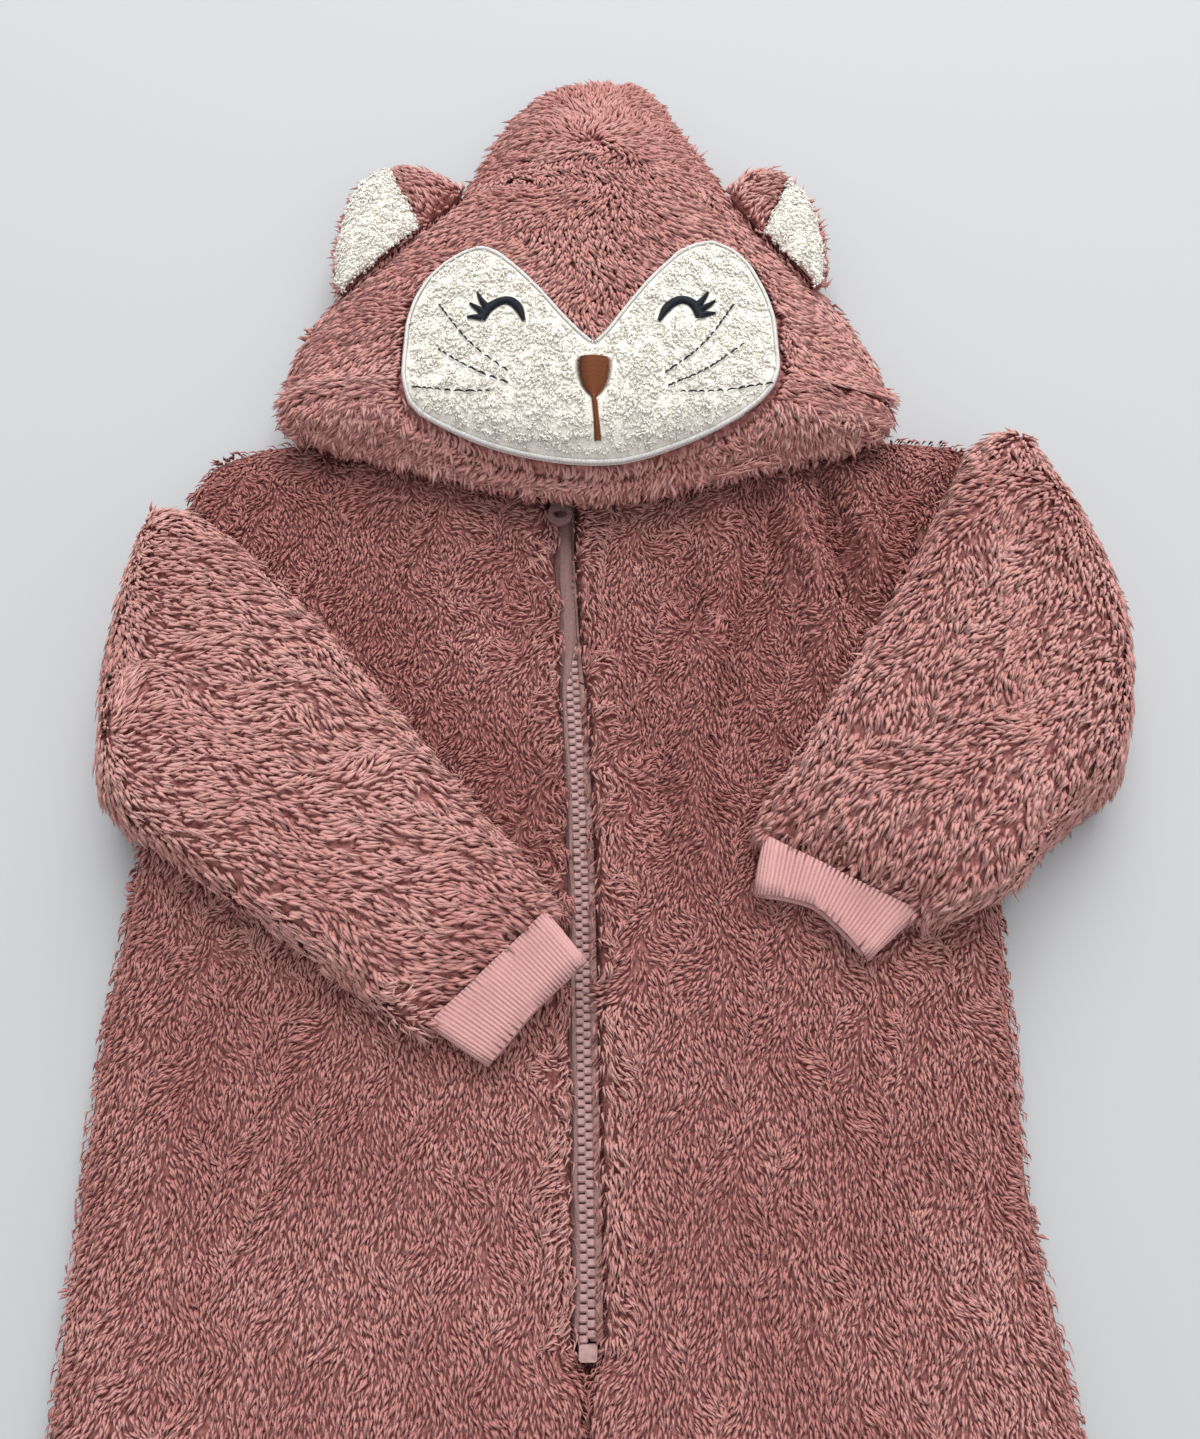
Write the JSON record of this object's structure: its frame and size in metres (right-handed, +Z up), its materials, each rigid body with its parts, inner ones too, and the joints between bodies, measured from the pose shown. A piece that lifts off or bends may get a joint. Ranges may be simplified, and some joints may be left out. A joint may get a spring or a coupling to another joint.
{
  "type": "hooded animal onesie",
  "caption": "Toddler's teddy-fleece onesie with an animal-face hood and ears, zipped up and laid flat with both sleeves folded in over the front.",
  "frame": {"origin": "on the surface it lies on, under the middle of the garment's box", "axes": "+Z up from the surface, +Y from the ankles to the hood's tip, +X to the right as seen from above"},
  "size_m": [0.4114, 0.8521, 0.0665],
  "materials": {
    "fleece": "long-pile teddy fleece, dusty rose",
    "sherpa": "curly sherpa pile, cream",
    "ribbing": "fine one-by-one rib knit",
    "tape": "woven zip tape",
    "plastic": "moulded zip teeth, satin",
    "painted_metal": "painted slider and pull, satin"
  },
  "bodies": {
    "garment": {"back_left": "fleece", "back_right": "fleece", "front_left": "fleece", "front_right": "fleece", "sleeve_left": "fleece", "sleeve_right": "fleece", "wrist_cuff_left": "ribbing", "wrist_cuff_right": "ribbing", "ankle_cuff_left": "ribbing", "ankle_cuff_right": "ribbing", "hood_under": "fleece", "hood_crown": "fleece", "face_patch": "sherpa", "ear_outer_left": "fleece", "ear_inner_left": "sherpa", "ear_outer_right": "fleece", "ear_inner_right": "sherpa", "zip_tape_left": "tape", "zip_tape_right": "tape", "zip_teeth": "plastic", "zip_stop": "plastic", "zip_slider": "painted_metal"},
    "pull": {"zip_pull": "painted_metal"}
  },
  "joints": [
    {"name": "pull_tilt", "type": "hinge", "parent": "garment", "child": "pull", "pos_m": [-0.02455, 0.2085, 0.0228], "axis": [-1, 0, 0], "range_deg": [0, 31]}
  ]
}
